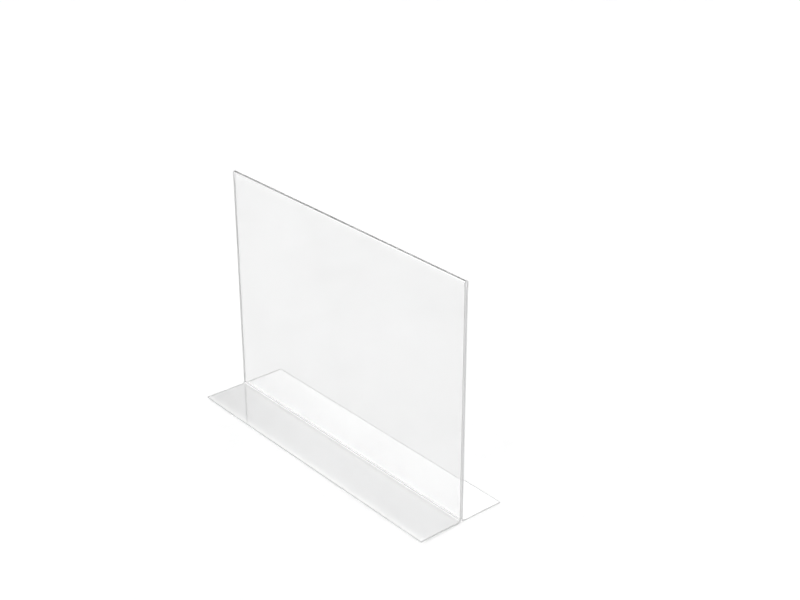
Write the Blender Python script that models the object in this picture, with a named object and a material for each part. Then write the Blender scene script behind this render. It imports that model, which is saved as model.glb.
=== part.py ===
"""Clear acrylic table guard: one folded sheet that stands as an upside-down T.

The sheet runs front foot, front pane, hairpin fold, rear pane, rear foot. It is built as its two
leaves, one each side of the fold, because the fold is the only place where it flexes. Metres, +Z up.
X runs along the width, Y from front to rear, and the feet stand on Z = 0.
"""

import math

import bpy

# Driving dimensions
WIDTH = 0.297  # along the fold
HEIGHT = 0.2115  # table to the top of the fold
BASE_DEPTH = 0.085  # front foot's edge to rear foot's edge
SHEET = 0.0015  # thickness of the acrylic
SLOT = 0.0003  # space between the two panes
FOOT_BEND_RADIUS = 0.002  # inside radius where a pane turns into its foot
FOLD_RADIUS = 0.00045  # inside radius of the hairpin fold
FOLD_FLARE = 0.009  # height over which the panes part to meet the fold
FOLD_GAP = 0.0003  # clearance between the two leaves on the fold's centreline

# Smoothness of the round stretches
BEND_STEPS = 16
FOLD_STEPS = 12
FLARE_STEPS = 8

# What follows from them
SLOT_FACE = SLOT / 2
OUTER_FACE = SLOT_FACE + SHEET
BEND_CENTRE_Y = OUTER_FACE + FOOT_BEND_RADIUS
BEND_CENTRE_Z = SHEET + FOOT_BEND_RADIUS
FOLD_OUTER_RADIUS = FOLD_RADIUS + SHEET
FOLD_CENTRE_Z = HEIGHT - FOLD_OUTER_RADIUS
FLARE_START_Z = FOLD_CENTRE_Z - FOLD_FLARE
FLEX_AXIS_Z = HEIGHT - SHEET / 2  # middle of the sheet's thickness at the top of the fold

CLEAR_ACRYLIC = (0.93, 0.95, 0.95, 1.0)
ACRYLIC_IOR = 1.49


def clear_scene():
    """Removes whatever the open file holds."""
    for leftover in list(bpy.data.objects):
        bpy.data.objects.remove(leftover, do_unlink=True)


def new_collection(name):
    """A collection in the scene for the finished pieces."""
    collection = bpy.data.collections.new(name)
    bpy.context.scene.collection.children.link(collection)
    return collection


def acrylic(name):
    """Polished clear acrylic, one material for each leaf."""
    material = bpy.data.materials.new(name)
    material.use_nodes = True
    shader = material.node_tree.nodes["Principled BSDF"]
    shader.inputs["Base Color"].default_value = CLEAR_ACRYLIC
    shader.inputs["Roughness"].default_value = 0.04
    shader.inputs["Metallic"].default_value = 0.0
    shader.inputs["IOR"].default_value = ACRYLIC_IOR
    shader.inputs["Transmission Weight"].default_value = 1.0
    return material


def arc(centre, radius, start, end, steps):
    """Points on a circular arc in the Y-Z plane, both ends included, with angles in radians from +Y."""
    points = []
    for step in range(steps + 1):
        angle = start + (end - start) * step / steps
        points.append((centre[0] + radius * math.cos(angle), centre[1] + radius * math.sin(angle)))
    return points


def flare(y_low, y_high):
    """The gentle S by which one face leaves its plane for the fold, ends left out."""
    points = []
    for step in range(1, FLARE_STEPS):
        share = step / FLARE_STEPS
        ease = share * share * (3 - 2 * share)
        points.append((y_low + (y_high - y_low) * ease, FLARE_START_Z + FOLD_FLARE * share))
    return points


def leaf_section():
    """Outline of the rear leaf across its width, as (y, z), anticlockwise from the foot's lower edge.

    Both faces of the fold stop on the plane y = FOLD_GAP / 2, where the leaves face each other.
    """
    bend_centre = (BEND_CENTRE_Y, BEND_CENTRE_Z)
    fold_centre = (0.0, FOLD_CENTRE_Z)
    outer_cut = math.acos(FOLD_GAP / 2 / FOLD_OUTER_RADIUS)
    inner_cut = math.acos(FOLD_GAP / 2 / FOLD_RADIUS)
    down = 1.5 * math.pi

    outside = [(BASE_DEPTH / 2, 0.0), (BASE_DEPTH / 2, SHEET)]
    outside += arc(bend_centre, FOOT_BEND_RADIUS, down, math.pi, BEND_STEPS)
    outside += [(OUTER_FACE, FLARE_START_Z)]
    outside += flare(OUTER_FACE, FOLD_OUTER_RADIUS)
    outside += arc(fold_centre, FOLD_OUTER_RADIUS, 0.0, outer_cut, FOLD_STEPS)

    slot_side = arc(fold_centre, FOLD_RADIUS, inner_cut, 0.0, FOLD_STEPS)
    slot_side += reversed(flare(SLOT_FACE, FOLD_RADIUS))
    slot_side += [(SLOT_FACE, FLARE_START_Z)]
    slot_side += arc(bend_centre, FOOT_BEND_RADIUS + SHEET, math.pi, down, BEND_STEPS)
    return outside + slot_side


def leaf(name, turn, collection):
    """One leaf of the sheet: its section, extruded across the width and turned about +Z.

    The object's origin lies on the fold's flex axis, which runs along X.
    """
    outline = bpy.data.curves.new(name, "CURVE")
    outline.dimensions = "2D"
    outline.fill_mode = "BOTH"
    outline.extrude = WIDTH / 2
    section = leaf_section()
    spline = outline.splines.new("POLY")
    spline.points.add(len(section) - 1)
    for point, (y, z) in zip(spline.points, section):
        point.co = (y, z - FLEX_AXIS_Z, 0.0, 1.0)
    spline.use_cyclic_u = True

    piece = bpy.data.objects.new(name, outline)
    piece.location = (0.0, 0.0, FLEX_AXIS_Z)
    piece.rotation_euler = (math.pi / 2, 0.0, turn)
    outline.materials.append(acrylic(name + "_acrylic"))
    collection.objects.link(piece)
    return piece


def main():
    clear_scene()
    guard = new_collection("table_guard")
    leaf("rear_leaf", math.pi / 2, guard)
    leaf("front_leaf", -math.pi / 2, guard)


main()
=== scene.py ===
"""Finished look of a clear acrylic table guard, one folded sheet that stands as an upside-down T.

Laid out as a Blender add-on: sizes and finishes are properties, each thing made is an operator, and
one panel in the sidebar lists them. Run as a script, it makes everything in order.
"""

import math

import bpy
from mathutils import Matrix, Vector


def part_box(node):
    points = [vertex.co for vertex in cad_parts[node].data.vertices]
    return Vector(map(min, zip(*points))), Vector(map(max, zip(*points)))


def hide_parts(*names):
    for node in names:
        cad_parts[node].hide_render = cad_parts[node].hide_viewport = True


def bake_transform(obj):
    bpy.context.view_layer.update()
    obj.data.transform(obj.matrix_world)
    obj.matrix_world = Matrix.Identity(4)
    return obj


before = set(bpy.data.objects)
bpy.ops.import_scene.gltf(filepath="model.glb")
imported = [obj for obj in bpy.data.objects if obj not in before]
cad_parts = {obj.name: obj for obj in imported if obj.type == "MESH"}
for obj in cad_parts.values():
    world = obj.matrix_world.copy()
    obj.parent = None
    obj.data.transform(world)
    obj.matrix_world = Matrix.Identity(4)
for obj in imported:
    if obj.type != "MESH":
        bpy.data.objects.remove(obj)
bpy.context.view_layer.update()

bl_info = {
    "name": "Acrylic Table Guard",
    "version": (1, 0, 0),
    "blender": (4, 5, 0),
    "location": "3D View > Sidebar > Table Guard",
    "description": "Folds a clear acrylic table guard from one sheet and sets up a plain studio for it",
    "category": "Add Mesh",
}

FRONT_LOW, FRONT_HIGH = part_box("front_leaf")
REAR_LOW, REAR_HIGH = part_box("rear_leaf")
SHEET_NAME = "folded_sheet"


class GuardSizes(bpy.types.PropertyGroup):
    """Sizes of the sheet and its bends."""

    width: bpy.props.FloatProperty(
        name="Width",
        description="Length of the fold, from one cut end to the other",
        default=FRONT_HIGH.x - FRONT_LOW.x,
        unit="LENGTH",
    )
    height: bpy.props.FloatProperty(
        name="Height",
        description="From the table to the top of the fold",
        default=FRONT_HIGH.z,
        unit="LENGTH",
    )
    base_depth: bpy.props.FloatProperty(
        name="Base depth",
        description="From the front foot's edge to the rear foot's edge",
        default=REAR_HIGH.y - FRONT_LOW.y,
        unit="LENGTH",
    )
    sheet: bpy.props.FloatProperty(
        name="Sheet thickness",
        description="Thickness of the acrylic",
        default=0.0015,
        unit="LENGTH",
    )
    slot: bpy.props.FloatProperty(
        name="Slot",
        description="Space between the two panes",
        default=REAR_LOW.y - FRONT_HIGH.y,
        unit="LENGTH",
    )
    foot_bend: bpy.props.FloatProperty(
        name="Foot bend radius",
        description="Inside radius where a pane turns into its foot",
        default=0.002,
        unit="LENGTH",
    )
    fold_radius: bpy.props.FloatProperty(
        name="Fold radius",
        description="Inside radius of the hairpin fold along the top",
        default=0.00045,
        unit="LENGTH",
    )
    fold_flare: bpy.props.FloatProperty(
        name="Fold flare",
        description="Height over which the panes part to meet the fold",
        default=0.009,
        unit="LENGTH",
    )
    arris: bpy.props.FloatProperty(
        name="Arris",
        description="Width of the fine bevel left on every cut edge",
        default=0.00025,
        unit="LENGTH",
    )


class GuardFinish(bpy.types.PropertyGroup):
    """Colour and polish of the acrylic."""

    clear_tint: bpy.props.FloatVectorProperty(
        name="Clear tint",
        description="What one thickness of the sheet lets through",
        default=(0.93, 0.931, 0.931),
        min=0.0,
        max=1.0,
        subtype="COLOR",
    )
    # Painted light: the bends and the fold get this lighter tint, so that their shaded lines read light
    bend_painted_light_tint: bpy.props.FloatVectorProperty(
        name="Bend tint",
        description="The same at the bends and the fold, lighter because light crosses often there",
        default=(0.995, 0.995, 0.995),
        min=0.0,
        max=1.0,
        subtype="COLOR",
    )
    edge_tint: bpy.props.FloatVectorProperty(
        name="Edge tint",
        description="Colour of the cut edges",
        default=(0.93, 0.932, 0.932),
        min=0.0,
        max=1.0,
        subtype="COLOR",
    )
    # Painted shade: this dark grey on the fine bevels draws the thin dark lines along the cut edges
    arris_painted_shade_tint: bpy.props.FloatVectorProperty(
        name="Arris tint",
        description="Colour of the fine bevels along the cut edges, which show as thin darker lines",
        default=(0.65, 0.65, 0.65),
        min=0.0,
        max=1.0,
        subtype="COLOR",
    )
    refraction: bpy.props.FloatProperty(
        name="Index of refraction",
        description="How far the acrylic bends light",
        default=1.49,
    )
    haze: bpy.props.FloatProperty(
        name="Haze",
        description="Greatest dullness of the hairline scratches on the polished faces",
        default=0.02,
        subtype="FACTOR",
    )
    edge_roughness: bpy.props.FloatProperty(
        name="Edge roughness",
        description="Dullness of the cut edges",
        default=0.5,
        subtype="FACTOR",
    )


class GuardStudio(bpy.types.PropertyGroup):
    """Camera and light."""

    azimuth: bpy.props.FloatProperty(
        name="Camera azimuth",
        description="Turn of the camera from straight in front, towards +X",
        default=math.radians(49.64),
        subtype="ANGLE",
    )
    elevation: bpy.props.FloatProperty(
        name="Camera elevation",
        description="Height of the camera above the table, as an angle",
        default=math.radians(25.83),
        subtype="ANGLE",
    )
    distance: bpy.props.FloatProperty(
        name="Camera distance",
        description="From the camera to the point it looks at",
        default=1.1962,
        unit="LENGTH",
    )
    lens: bpy.props.FloatProperty(
        name="Focal length",
        description="Focal length on a 36 mm wide sensor",
        default=65.67,
    )
    floor_colour: bpy.props.FloatVectorProperty(
        name="Floor",
        description="Colour of the plain floor",
        default=(0.86, 0.86, 0.86),
        min=0.0,
        max=1.0,
        subtype="COLOR",
    )
    ambient: bpy.props.FloatProperty(
        name="Ambient light",
        description="Brightness of the even light from all round",
        default=0.60,
    )
    backlight: bpy.props.FloatProperty(
        name="Backlight",
        description="Extra brightness of the soft backlight, which the feet mirror",
        default=2.2,
    )
    backlight_azimuth: bpy.props.FloatProperty(
        name="Backlight azimuth",
        description="Turn of the backlight from straight in front, towards +X",
        default=math.radians(225.0),
        subtype="ANGLE",
    )
    backlight_elevation: bpy.props.FloatProperty(
        name="Backlight elevation",
        description="Height of the backlight above level, as an angle",
        default=math.radians(34.0),
        subtype="ANGLE",
    )
    backlight_spread: bpy.props.FloatProperty(
        name="Backlight spread",
        description="From the middle of the backlight to its soft edge",
        default=math.radians(16.0),
        subtype="ANGLE",
    )
    side_light: bpy.props.FloatProperty(
        name="Side light",
        description="Extra brightness of the soft light at the side, which the panes mirror onto the feet",
        default=2.5,
    )
    side_azimuth: bpy.props.FloatProperty(
        name="Side light azimuth",
        description="Turn of the side light from straight in front, towards +X",
        default=math.radians(-50.0),
        subtype="ANGLE",
    )
    side_elevation: bpy.props.FloatProperty(
        name="Side light elevation",
        description="Height of the side light above level, as an angle",
        default=math.radians(34.0),
        subtype="ANGLE",
    )
    side_spread: bpy.props.FloatProperty(
        name="Side light spread",
        description="From the middle of the side light to its soft edge",
        default=math.radians(15.0),
        subtype="ANGLE",
    )
    overhead: bpy.props.FloatProperty(
        name="Overhead light",
        description="Brightness of the lamp overhead",
        default=1.7,
    )
    overhead_elevation: bpy.props.FloatProperty(
        name="Overhead elevation",
        description="Height of the lamp behind the guard, as an angle",
        default=math.radians(79.3),
        subtype="ANGLE",
    )
    overhead_softness: bpy.props.FloatProperty(
        name="Overhead softness",
        description="Width of the lamp as seen from the table",
        default=math.radians(2.5),
        subtype="ANGLE",
    )


# The point that the camera looks at
AIM = Vector((0.0308, 0.0362, 0.1412))

# Smoothness of the round stretches, and the angles past which an edge is cut or stays sharp
BEND_STEPS = 24
FOLD_STEPS = 40
FLARE_STEPS = 10
ARRIS_STEPS = 2
ARRIS_ANGLE = math.radians(60)
SHARP_ANGLE = math.radians(40)

# The floor lies this far under the feet, so that no faces coincide
FLOOR_GAP = 0.0003
FLOOR_SIZE = 24.0

# Share of lamp light that passes one face straight on and along it, and how late it falls off between
LAMP_PASS = 0.94
LAMP_PASS_SLANTED = 0.3
LAMP_FALL_OFF = 5.0

# The fold line gets lighter as this limit rises. It was chosen by its look, and stands in for what
# acrylic absorbs along the light's path, which the shader leaves out.
LIGHT_BOUNCES = 128

# A soft light is at full brightness over one part in this many of its spread
SOFT_CORE = 5

# How much light passes through the satin of the cut edges and of their fine bevels, and the
# spread of the edges' dullness about its middle
EDGE_CLEARNESS = 0.15
ARRIS_CLEARNESS = 0.5
EDGE_ROUGHNESS_SWING = 0.1

# Noise lies mostly between these two, and a tint varies by this share of itself
NOISE_LOW = 0.3
NOISE_HIGH = 0.7
TINT_SWING = 0.01

# Pattern scales on object coordinates in metres, and relief depths in metres
CLOUD_SCALE = 9.0
SCRATCH_SCALE = 25.0
SCRATCH_STRETCH = (1.0, 1.0, 60.0)
SCRATCH_TURN = (0.0, 0.4, 0.0)
RIPPLE_SCALE = 70.0
RIPPLE_DEPTH = 0.00005
MARK_SCALE = 900.0
MARK_DEPTH = 0.00003
DULLNESS_SCALE = 400.0
GRAIN_SCALE = 120.0
GRAIN_DEPTH = 0.0002
FLOOR_DULLNESS_SCALE = 40.0
FLOOR_DULLNESS = 0.3


def deselect_all():
    """Leaves no object selected."""
    bpy.ops.object.select_all(action="DESELECT")


def in_edit_mode(piece):
    """Makes the piece the only one selected and enters edit mode on it."""
    deselect_all()
    piece.select_set(True)
    bpy.context.view_layer.objects.active = piece
    bpy.ops.object.mode_set(mode="EDIT")


def select_edges(piece, chosen):
    """In edit mode, selects only the edges whose middle passes the test."""
    bpy.ops.mesh.select_mode(type="EDGE")
    bpy.ops.mesh.select_all(action="DESELECT")
    bpy.ops.object.mode_set(mode="OBJECT")
    mesh = piece.data
    for edge in mesh.edges:
        ends = [mesh.vertices[index].co for index in edge.vertices]
        edge.select = chosen((ends[0] + ends[1]) / 2)
    bpy.ops.object.mode_set(mode="EDIT")


def pull(y, z):
    """Extrudes the selected edge by a straight move in the Y-Z plane."""
    bpy.ops.mesh.extrude_edges_move(TRANSFORM_OT_translate={"value": (0.0, y, z)})


def bend(centre_y, centre_z, angle, steps):
    """Bends the selected edge round an axis along X. A positive angle leans it over towards +Y."""
    bpy.ops.mesh.spin(steps=steps, angle=angle, center=(0.0, centre_y, centre_z), axis=(1.0, 0.0, 0.0))


def apply_modifier(piece, name, kind, **settings):
    """Adds a modifier with these settings and applies it."""
    modifier = piece.modifiers.new(name, kind)
    for setting, value in settings.items():
        setattr(modifier, setting, value)
    bpy.ops.object.modifier_apply(modifier=modifier.name)


class NodeBench:
    """Adds and links nodes in one material's or world's tree."""

    def __init__(self, tree):
        self.tree = tree
        self.tree.nodes.clear()

    def add(self, kind, inputs=(), **settings):
        """One node, with its settings. An input is a value for the socket or a socket to link from."""
        node = self.tree.nodes.new(kind)
        for setting, value in settings.items():
            setattr(node, setting, value)
        for socket, value in dict(inputs).items():
            if isinstance(value, bpy.types.NodeSocket):
                self.tree.links.new(value, node.inputs[socket])
            else:
                node.inputs[socket].default_value = value
        return node


def let_lamps_through(bench, glass):
    """Output for a glass shader that lets lamp light through as acrylic does, less of it at a slant."""
    slant = bench.add("ShaderNodeLayerWeight", {"Blend": 0.5}).outputs["Facing"]
    mirrored = bench.add("ShaderNodeMath", {0: slant, 1: LAMP_FALL_OFF}, operation="POWER").outputs["Value"]
    passed = bench.add(
        "ShaderNodeMapRange", {"Value": mirrored, "To Min": LAMP_PASS, "To Max": LAMP_PASS_SLANTED}
    ).outputs["Result"]
    clear = bench.add("ShaderNodeBsdfTransparent", {"Color": passed}).outputs["BSDF"]
    lamp_ray = bench.add("ShaderNodeLightPath").outputs["Is Shadow Ray"]
    surface = bench.add("ShaderNodeMixShader", {0: lamp_ray, 1: glass, 2: clear}).outputs["Shader"]
    bench.add("ShaderNodeOutputMaterial", {"Surface": surface})


def speckle(bench, position, scale, detail, low, high):
    """A noise pattern over the sheet, spread between two values."""
    noise = bench.add(
        "ShaderNodeTexNoise", {"Vector": position, "Scale": scale, "Detail": detail, "Roughness": 0.6}
    ).outputs["Fac"]
    return bench.add(
        "ShaderNodeMapRange",
        {"Value": noise, "From Min": NOISE_LOW, "From Max": NOISE_HIGH, "To Min": low, "To Max": high},
    ).outputs["Result"]


def tinted(bench, share, tint):
    """A colour that varies with the share around the tint."""
    darker = [channel * (1 - TINT_SWING) for channel in tint]
    lighter = [min(1.0, channel * (1 + TINT_SWING)) for channel in tint]
    ramp = bench.add("ShaderNodeValToRGB", {"Fac": share})
    ramp.color_ramp.elements[0].color = (*darker, 1.0)
    ramp.color_ramp.elements[1].color = (*lighter, 1.0)
    return ramp.outputs["Color"]


def fade(bench, value, start, end):
    """1 up to the start, falling smoothly to 0 at the end, which may lie on either side."""
    return bench.add(
        "ShaderNodeMapRange",
        {"Value": value, "From Min": start, "From Max": end, "To Min": 1.0, "To Max": 0.0},
        interpolation_type="SMOOTHSTEP",
    ).outputs["Result"]


# The same share also places the painted light of the lighter bend tint
def heated_ripple_and_painted_light_share(bench, position, size):
    """1 at the bends and the fold, where the sheet was heated, and 0 over the flat panes and feet."""
    places = bench.add("ShaderNodeSeparateXYZ", {"Vector": position}).outputs
    out = bench.add("ShaderNodeMath", {0: places["Y"]}, operation="ABSOLUTE").outputs["Value"]
    bend_top = size.sheet + size.foot_bend
    bend_end = size.slot / 2 + size.sheet + size.foot_bend
    near_feet = fade(bench, places["Z"], bend_top, bend_top * 2)
    near_fold = fade(bench, places["Z"], size.height - bend_top / 2, size.height - bend_top)
    near_panes = fade(bench, out, bend_end, bend_end * 1.5)
    heated = bench.add("ShaderNodeMath", {0: near_feet, 1: near_fold}, operation="ADD").outputs["Value"]
    return bench.add("ShaderNodeMath", {0: heated, 1: near_panes}, operation="MULTIPLY").outputs["Value"]


def clear_acrylic(finish, size):
    """Polished faces: clear, with hairline scratches, and faint ripples where the sheet was heated."""
    material = bpy.data.materials.new("polished_face")
    material.use_nodes = True
    bench = NodeBench(material.node_tree)
    position = bench.add("ShaderNodeTexCoord").outputs["Object"]
    cloud = speckle(bench, position, CLOUD_SCALE, 2.0, 0.0, 1.0)
    brushed = bench.add(
        "ShaderNodeMapping", {"Vector": position, "Rotation": SCRATCH_TURN, "Scale": SCRATCH_STRETCH}
    ).outputs["Vector"]
    scratches = speckle(bench, brushed, SCRATCH_SCALE, 4.0, 0.0, finish.haze)
    ripple = bench.add(
        "ShaderNodeTexNoise", {"Vector": position, "Scale": RIPPLE_SCALE, "Detail": 1.0}
    ).outputs["Fac"]
    heated = heated_ripple_and_painted_light_share(bench, position, size)
    depth = bench.add("ShaderNodeMath", {0: ripple, 1: heated}, operation="MULTIPLY").outputs["Value"]
    normal = bench.add(
        "ShaderNodeBump", {"Height": depth, "Strength": 0.1, "Distance": RIPPLE_DEPTH}
    ).outputs["Normal"]
    # A Mix node's colours go into sockets 6 and 7, and their mix comes out of socket 2. At the bends and
    # the fold the tint turns to the lighter bend tint, which is painted light that lifts their shade.
    tint = bench.add(
        "ShaderNodeMix",
        {"Factor": heated, 6: tinted(bench, cloud, finish.clear_tint), 7: (*finish.bend_painted_light_tint, 1.0)},
        data_type="RGBA",
    ).outputs[2]
    shader = bench.add(
        "ShaderNodeBsdfPrincipled",
        {
            "Base Color": tint,
            "Roughness": scratches,
            "IOR": finish.refraction,
            "Transmission Weight": 1.0,
            "Normal": normal,
        },
    )
    let_lamps_through(bench, shader.outputs["BSDF"])
    return material


def worked_edge(name, finish, tint, clearness):
    """A sawn and scraped surface: satin, with fine marks in its colour, its dullness and its relief."""
    material = bpy.data.materials.new(name)
    material.use_nodes = True
    bench = NodeBench(material.node_tree)
    position = bench.add("ShaderNodeTexCoord").outputs["Object"]
    marks = speckle(bench, position, MARK_SCALE, 3.0, 0.0, 1.0)
    smoothest = finish.edge_roughness - EDGE_ROUGHNESS_SWING
    roughest = finish.edge_roughness + EDGE_ROUGHNESS_SWING
    dullness = speckle(bench, position, DULLNESS_SCALE, 3.0, smoothest, roughest)
    normal = bench.add(
        "ShaderNodeBump", {"Height": marks, "Strength": 0.3, "Distance": MARK_DEPTH}
    ).outputs["Normal"]
    shader = bench.add(
        "ShaderNodeBsdfPrincipled",
        {
            "Base Color": tinted(bench, marks, tint),
            "Roughness": dullness,
            "IOR": finish.refraction,
            "Transmission Weight": clearness,
            "Normal": normal,
        },
    )
    let_lamps_through(bench, shader.outputs["BSDF"])
    return material


class TABLEGUARD_OT_fold_sheet(bpy.types.Operator):
    """Fold the sheet: front foot, front pane, hairpin, rear pane and rear foot"""

    bl_idname = "tableguard.fold_sheet"
    bl_label = "Fold sheet"

    def execute(self, context):
        size = context.scene.guard_sizes
        half = size.sheet / 2
        pane_y = size.slot / 2 + half
        foot_radius = size.foot_bend + half
        bend_y = pane_y + foot_radius
        bend_z = half + foot_radius
        foot = size.base_depth / 2 - bend_y
        fold_radius = size.fold_radius + half
        fold_z = size.height - half - fold_radius
        rise = fold_z - size.fold_flare - bend_z
        flare = [step / FLARE_STEPS for step in range(FLARE_STEPS + 1)]
        lean = [(fold_radius - pane_y) * share * share * (3 - 2 * share) for share in flare]

        deselect_all()
        bpy.ops.mesh.primitive_plane_add(size=1.0, location=(0.0, -bend_y - foot / 2, half))
        piece = context.object
        piece.name = SHEET_NAME
        piece.data.name = SHEET_NAME
        bpy.ops.object.mode_set(mode="EDIT")
        bpy.ops.transform.resize(value=(size.width, foot, 1.0))
        bpy.ops.object.mode_set(mode="OBJECT")
        bpy.ops.object.transform_apply(location=True, rotation=True, scale=True)
        in_edit_mode(piece)
        select_edges(piece, lambda middle: middle.y > -bend_y - half)
        bend(-bend_y, bend_z, -math.pi / 2, BEND_STEPS)
        pull(0.0, rise)
        for low, high in zip(lean, lean[1:]):
            pull(low - high, size.fold_flare / FLARE_STEPS)
        bend(0.0, fold_z, math.pi, FOLD_STEPS)
        for high, low in zip(lean[::-1], lean[-2::-1]):
            pull(low - high, -size.fold_flare / FLARE_STEPS)
        pull(0.0, -rise)
        bend(bend_y, bend_z, -math.pi / 2, BEND_STEPS)
        pull(foot, 0.0)
        bpy.ops.mesh.select_all(action="SELECT")
        bpy.ops.mesh.normals_make_consistent(inside=False)
        bpy.ops.object.mode_set(mode="OBJECT")

        finish = context.scene.guard_finish
        piece.data.materials.append(clear_acrylic(finish, size))
        piece.data.materials.append(worked_edge("cut_edge", finish, finish.edge_tint, EDGE_CLEARNESS))
        # The fine bevels' material carries the dark grey of painted shade
        piece.data.materials.append(
            worked_edge("scraped_arris_painted_shade", finish, finish.arris_painted_shade_tint, ARRIS_CLEARNESS)
        )
        # The thickness closes the sheet's ends with material 1, and the fine bevels get material 2, whose
        # dark grey tint is painted shade
        apply_modifier(
            piece, "thickness", "SOLIDIFY", thickness=size.sheet, offset=0.0, use_even_offset=True,
            material_offset_rim=1,
        )
        in_edit_mode(piece)
        bpy.ops.mesh.select_all(action="SELECT")
        bpy.ops.mesh.normals_make_consistent(inside=False)
        bpy.ops.object.mode_set(mode="OBJECT")
        apply_modifier(
            piece, "arris", "BEVEL", width=size.arris, segments=ARRIS_STEPS, limit_method="ANGLE",
            angle_limit=ARRIS_ANGLE, material=2,
        )
        bpy.ops.object.shade_smooth_by_angle(angle=SHARP_ANGLE)
        apply_modifier(piece, "flat_faces", "WEIGHTED_NORMAL", weight=100, keep_sharp=True)

        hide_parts("front_leaf", "rear_leaf")
        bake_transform(piece)
        return {"FINISHED"}


def towards(azimuth, elevation):
    """Unit vector at this turn from straight in front, towards +X, and this height above level."""
    level = math.cos(elevation)
    return Vector((math.sin(azimuth) * level, -math.cos(azimuth) * level, math.sin(elevation)))


def soft_light(bench, direction, centre, spread, brightness):
    """Extra brightness of the sky round a centre, falling off smoothly to nothing at the spread."""
    nearness = bench.add(
        "ShaderNodeVectorMath", {0: direction, 1: centre}, operation="DOT_PRODUCT"
    ).outputs["Value"]
    return bench.add(
        "ShaderNodeMapRange",
        {
            "Value": nearness,
            "From Min": math.cos(spread),
            "From Max": math.cos(spread / SOFT_CORE),
            "To Max": brightness,
        },
        interpolation_type="SMOOTHSTEP",
    ).outputs["Result"]


def studio_world(studio):
    """Even white light from all round, with two soft lights, and none of it sampled as a lamp."""
    world = bpy.data.worlds.new("studio")
    bpy.context.scene.world = world
    world.use_nodes = True
    world.cycles.sampling_method = "NONE"
    bench = NodeBench(world.node_tree)
    direction = bench.add("ShaderNodeTexCoord").outputs["Generated"]
    back = towards(studio.backlight_azimuth, studio.backlight_elevation)
    side = towards(studio.side_azimuth, studio.side_elevation)
    lights = (
        soft_light(bench, direction, back, studio.backlight_spread, studio.backlight),
        soft_light(bench, direction, side, studio.side_spread, studio.side_light),
    )
    strength = bench.add(
        "ShaderNodeMath", {0: lights[0], 1: studio.ambient}, operation="ADD"
    ).outputs["Value"]
    strength = bench.add("ShaderNodeMath", {0: strength, 1: lights[1]}, operation="ADD").outputs["Value"]
    background = bench.add("ShaderNodeBackground", {"Color": (1, 1, 1, 1), "Strength": strength})
    bench.add("ShaderNodeOutputWorld", {"Surface": background.outputs["Background"]})


def studio_floor(studio):
    """A plain pale floor, just under the feet."""
    deselect_all()
    bpy.ops.mesh.primitive_plane_add(size=FLOOR_SIZE, location=(0.0, 0.0, -FLOOR_GAP))
    floor = bpy.context.object
    floor.name = "floor"
    material = bpy.data.materials.new("pale_floor")
    material.use_nodes = True
    bench = NodeBench(material.node_tree)
    position = bench.add("ShaderNodeTexCoord").outputs["Object"]
    grain = speckle(bench, position, GRAIN_SCALE, 4.0, 0.0, 1.0)
    normal = bench.add("ShaderNodeBump", {"Height": grain, "Strength": 0.1, "Distance": GRAIN_DEPTH})
    shader = bench.add(
        "ShaderNodeBsdfDiffuse",
        {
            "Color": tinted(bench, grain, studio.floor_colour),
            "Roughness": speckle(bench, position, FLOOR_DULLNESS_SCALE, 2.0, 0.0, FLOOR_DULLNESS),
            "Normal": normal.outputs["Normal"],
        },
    )
    bench.add("ShaderNodeOutputMaterial", {"Surface": shader.outputs["BSDF"]})
    floor.data.materials.append(material)


def studio_lights(studio):
    """A soft overhead light, slightly behind, so that the panes shade the front foot."""
    bpy.ops.object.light_add(type="SUN", location=(0.0, 0.0, 1.0))
    lamp = bpy.context.object
    lamp.name = "overhead_light"
    lamp.data.energy = studio.overhead
    lamp.data.angle = studio.overhead_softness
    lamp.data.cycles.use_multiple_importance_sampling = False
    lamp.rotation_euler = (-towards(math.pi, studio.overhead_elevation)).to_track_quat("-Z", "Y").to_euler()
    deselect_all()


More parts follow.
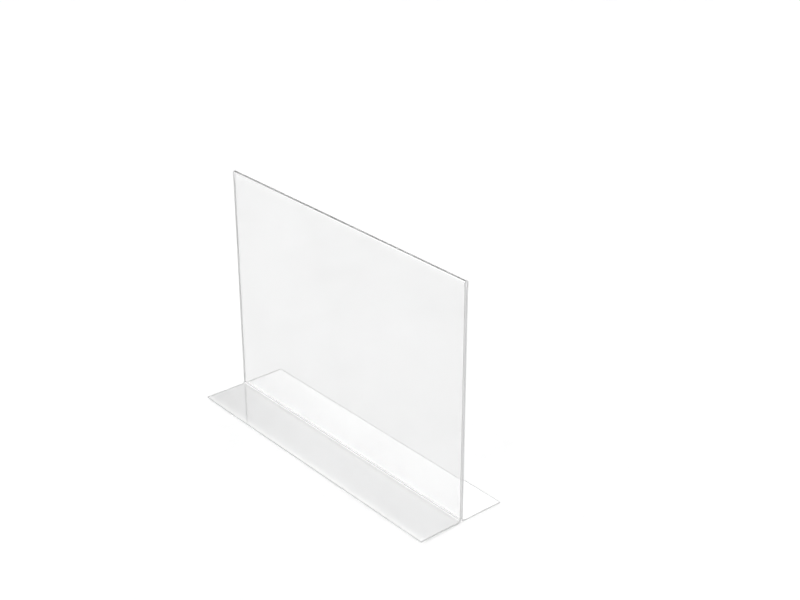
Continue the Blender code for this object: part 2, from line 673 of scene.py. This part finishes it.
def studio_camera(studio):
    """A camera on the line out from its aim, at the studio's turn, height and distance."""
    camera_data = bpy.data.cameras.new("camera")
    camera = bpy.data.objects.new("camera", camera_data)
    bpy.context.scene.collection.objects.link(camera)
    camera_data.lens = studio.lens
    camera_data.sensor_width = 36.0
    camera_data.clip_start = 0.01
    camera.location = AIM + towards(studio.azimuth, studio.elevation) * studio.distance
    camera.rotation_euler = (AIM - camera.location).to_track_quat("-Z", "Y").to_euler()
    bpy.context.scene.camera = camera


class TABLEGUARD_OT_set_studio(bpy.types.Operator):
    """Set up the plain floor, the soft light and the camera"""

    bl_idname = "tableguard.set_studio"
    bl_label = "Set studio"

    def execute(self, context):
        studio = context.scene.guard_studio
        context.scene.view_settings.view_transform = "Standard"
        light_paths = context.scene.cycles
        light_paths.blur_glossy = 0.0
        light_paths.max_bounces = LIGHT_BOUNCES
        light_paths.glossy_bounces = LIGHT_BOUNCES
        light_paths.transmission_bounces = LIGHT_BOUNCES
        studio_world(studio)
        studio_floor(studio)
        studio_lights(studio)
        studio_camera(studio)
        return {"FINISHED"}


class TABLEGUARD_PT_panel(bpy.types.Panel):
    """Sizes, finishes and the things to make"""

    bl_idname = "TABLEGUARD_PT_panel"
    bl_label = "Table Guard"
    bl_space_type = "VIEW_3D"
    bl_region_type = "UI"
    bl_category = "Table Guard"

    def draw(self, context):
        scene = context.scene
        for group in (scene.guard_sizes, scene.guard_finish, scene.guard_studio):
            box = self.layout.box()
            for name in group.__annotations__:
                box.prop(group, name)
        self.layout.operator(TABLEGUARD_OT_fold_sheet.bl_idname)
        self.layout.operator(TABLEGUARD_OT_set_studio.bl_idname)


CLASSES = (
    GuardSizes,
    GuardFinish,
    GuardStudio,
    TABLEGUARD_OT_fold_sheet,
    TABLEGUARD_OT_set_studio,
    TABLEGUARD_PT_panel,
)


def register():
    for item in CLASSES:
        bpy.utils.register_class(item)
    bpy.types.Scene.guard_sizes = bpy.props.PointerProperty(type=GuardSizes)
    bpy.types.Scene.guard_finish = bpy.props.PointerProperty(type=GuardFinish)
    bpy.types.Scene.guard_studio = bpy.props.PointerProperty(type=GuardStudio)


def unregister():
    del bpy.types.Scene.guard_studio
    del bpy.types.Scene.guard_finish
    del bpy.types.Scene.guard_sizes
    for item in reversed(CLASSES):
        bpy.utils.unregister_class(item)


def main():
    register()
    bpy.ops.tableguard.fold_sheet()
    bpy.ops.tableguard.set_studio()


if __name__ == "__main__":
    main()
